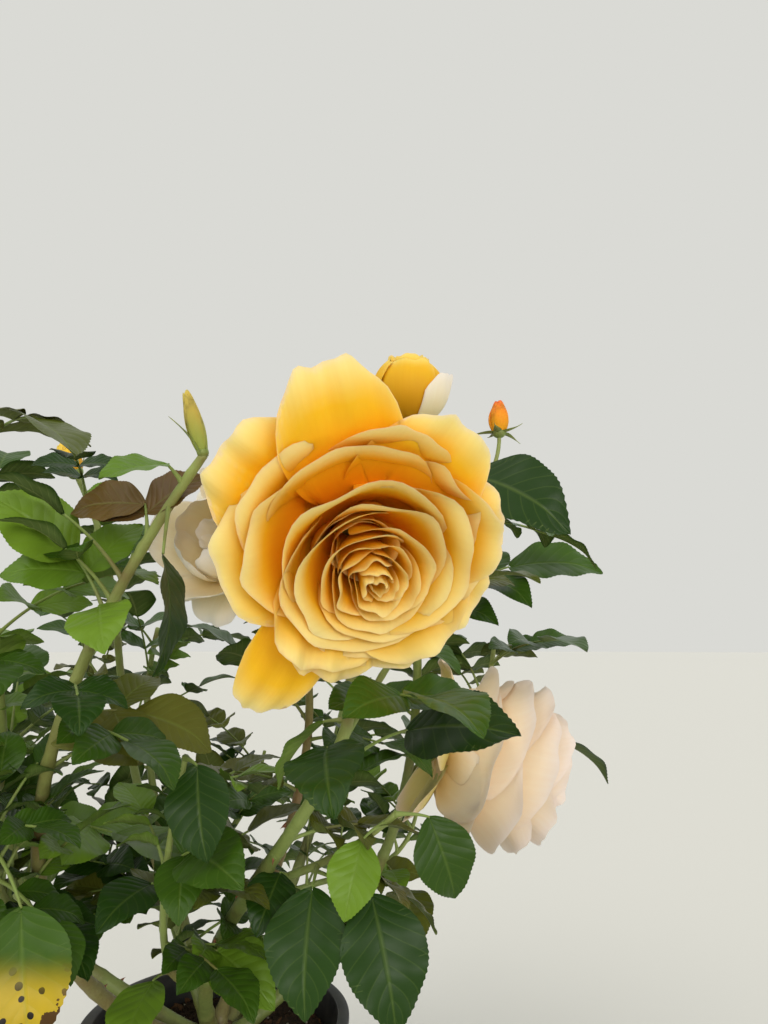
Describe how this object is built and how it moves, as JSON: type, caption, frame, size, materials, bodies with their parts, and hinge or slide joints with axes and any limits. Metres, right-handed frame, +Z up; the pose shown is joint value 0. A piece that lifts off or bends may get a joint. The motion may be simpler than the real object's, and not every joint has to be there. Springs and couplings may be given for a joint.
{
  "type": "potted rose bush",
  "caption": "Leafy rose bush with arching canes, one large many-petalled apricot bloom, smaller blooms and buds, standing in a round black nursery pot.",
  "frame": {"origin": "centre of the pot's flat underside, at ground level", "axes": "+Z up, -Y towards the open front that the large bloom faces, +X to the right of that view"},
  "size_m": [0.5124, 0.4768, 0.5224],
  "materials": {
    "pot": "black moulded plastic, slightly scuffed",
    "compost": "damp peaty potting compost with bark bits",
    "stem": "smooth green to red-brown rose bark with prickles",
    "foliage": "glossy dark green leaves",
    "petals_apricot": "soft velvety petals, apricot yellow",
    "petals_cream": "soft velvety petals, cream",
    "petals_faded": "faded petals with pink edges"
  },
  "bodies": {
    "root": {"pot": "pot", "compost": "compost", "root_collar": "stem", "cane_front": "stem", "cane_front_left": "stem", "cane_left": "stem", "cane_mid_left": "stem", "cane_middle": "stem", "cane_right": "stem", "cane_back_left": "stem", "cane_back_right": "stem", "foliage_front": "foliage", "foliage_front_left": "foliage", "foliage_left": "foliage", "foliage_mid_left": "foliage", "foliage_middle": "foliage", "foliage_right": "foliage", "foliage_back_left": "foliage", "foliage_back_right": "foliage", "foliage_low_right": "foliage", "foliage_low_front": "foliage", "foliage_low_left": "foliage", "foliage_far_left": "foliage", "foliage_low_back_left": "foliage", "foliage_low_back": "foliage", "foliage_low_back_right": "foliage", "foliage_side_right": "foliage", "bloom_main": "petals_apricot", "bloom_cream": "petals_cream", "bloom_yellow": "petals_apricot", "bloom_faded": "petals_faded"}
  },
  "joints": []
}
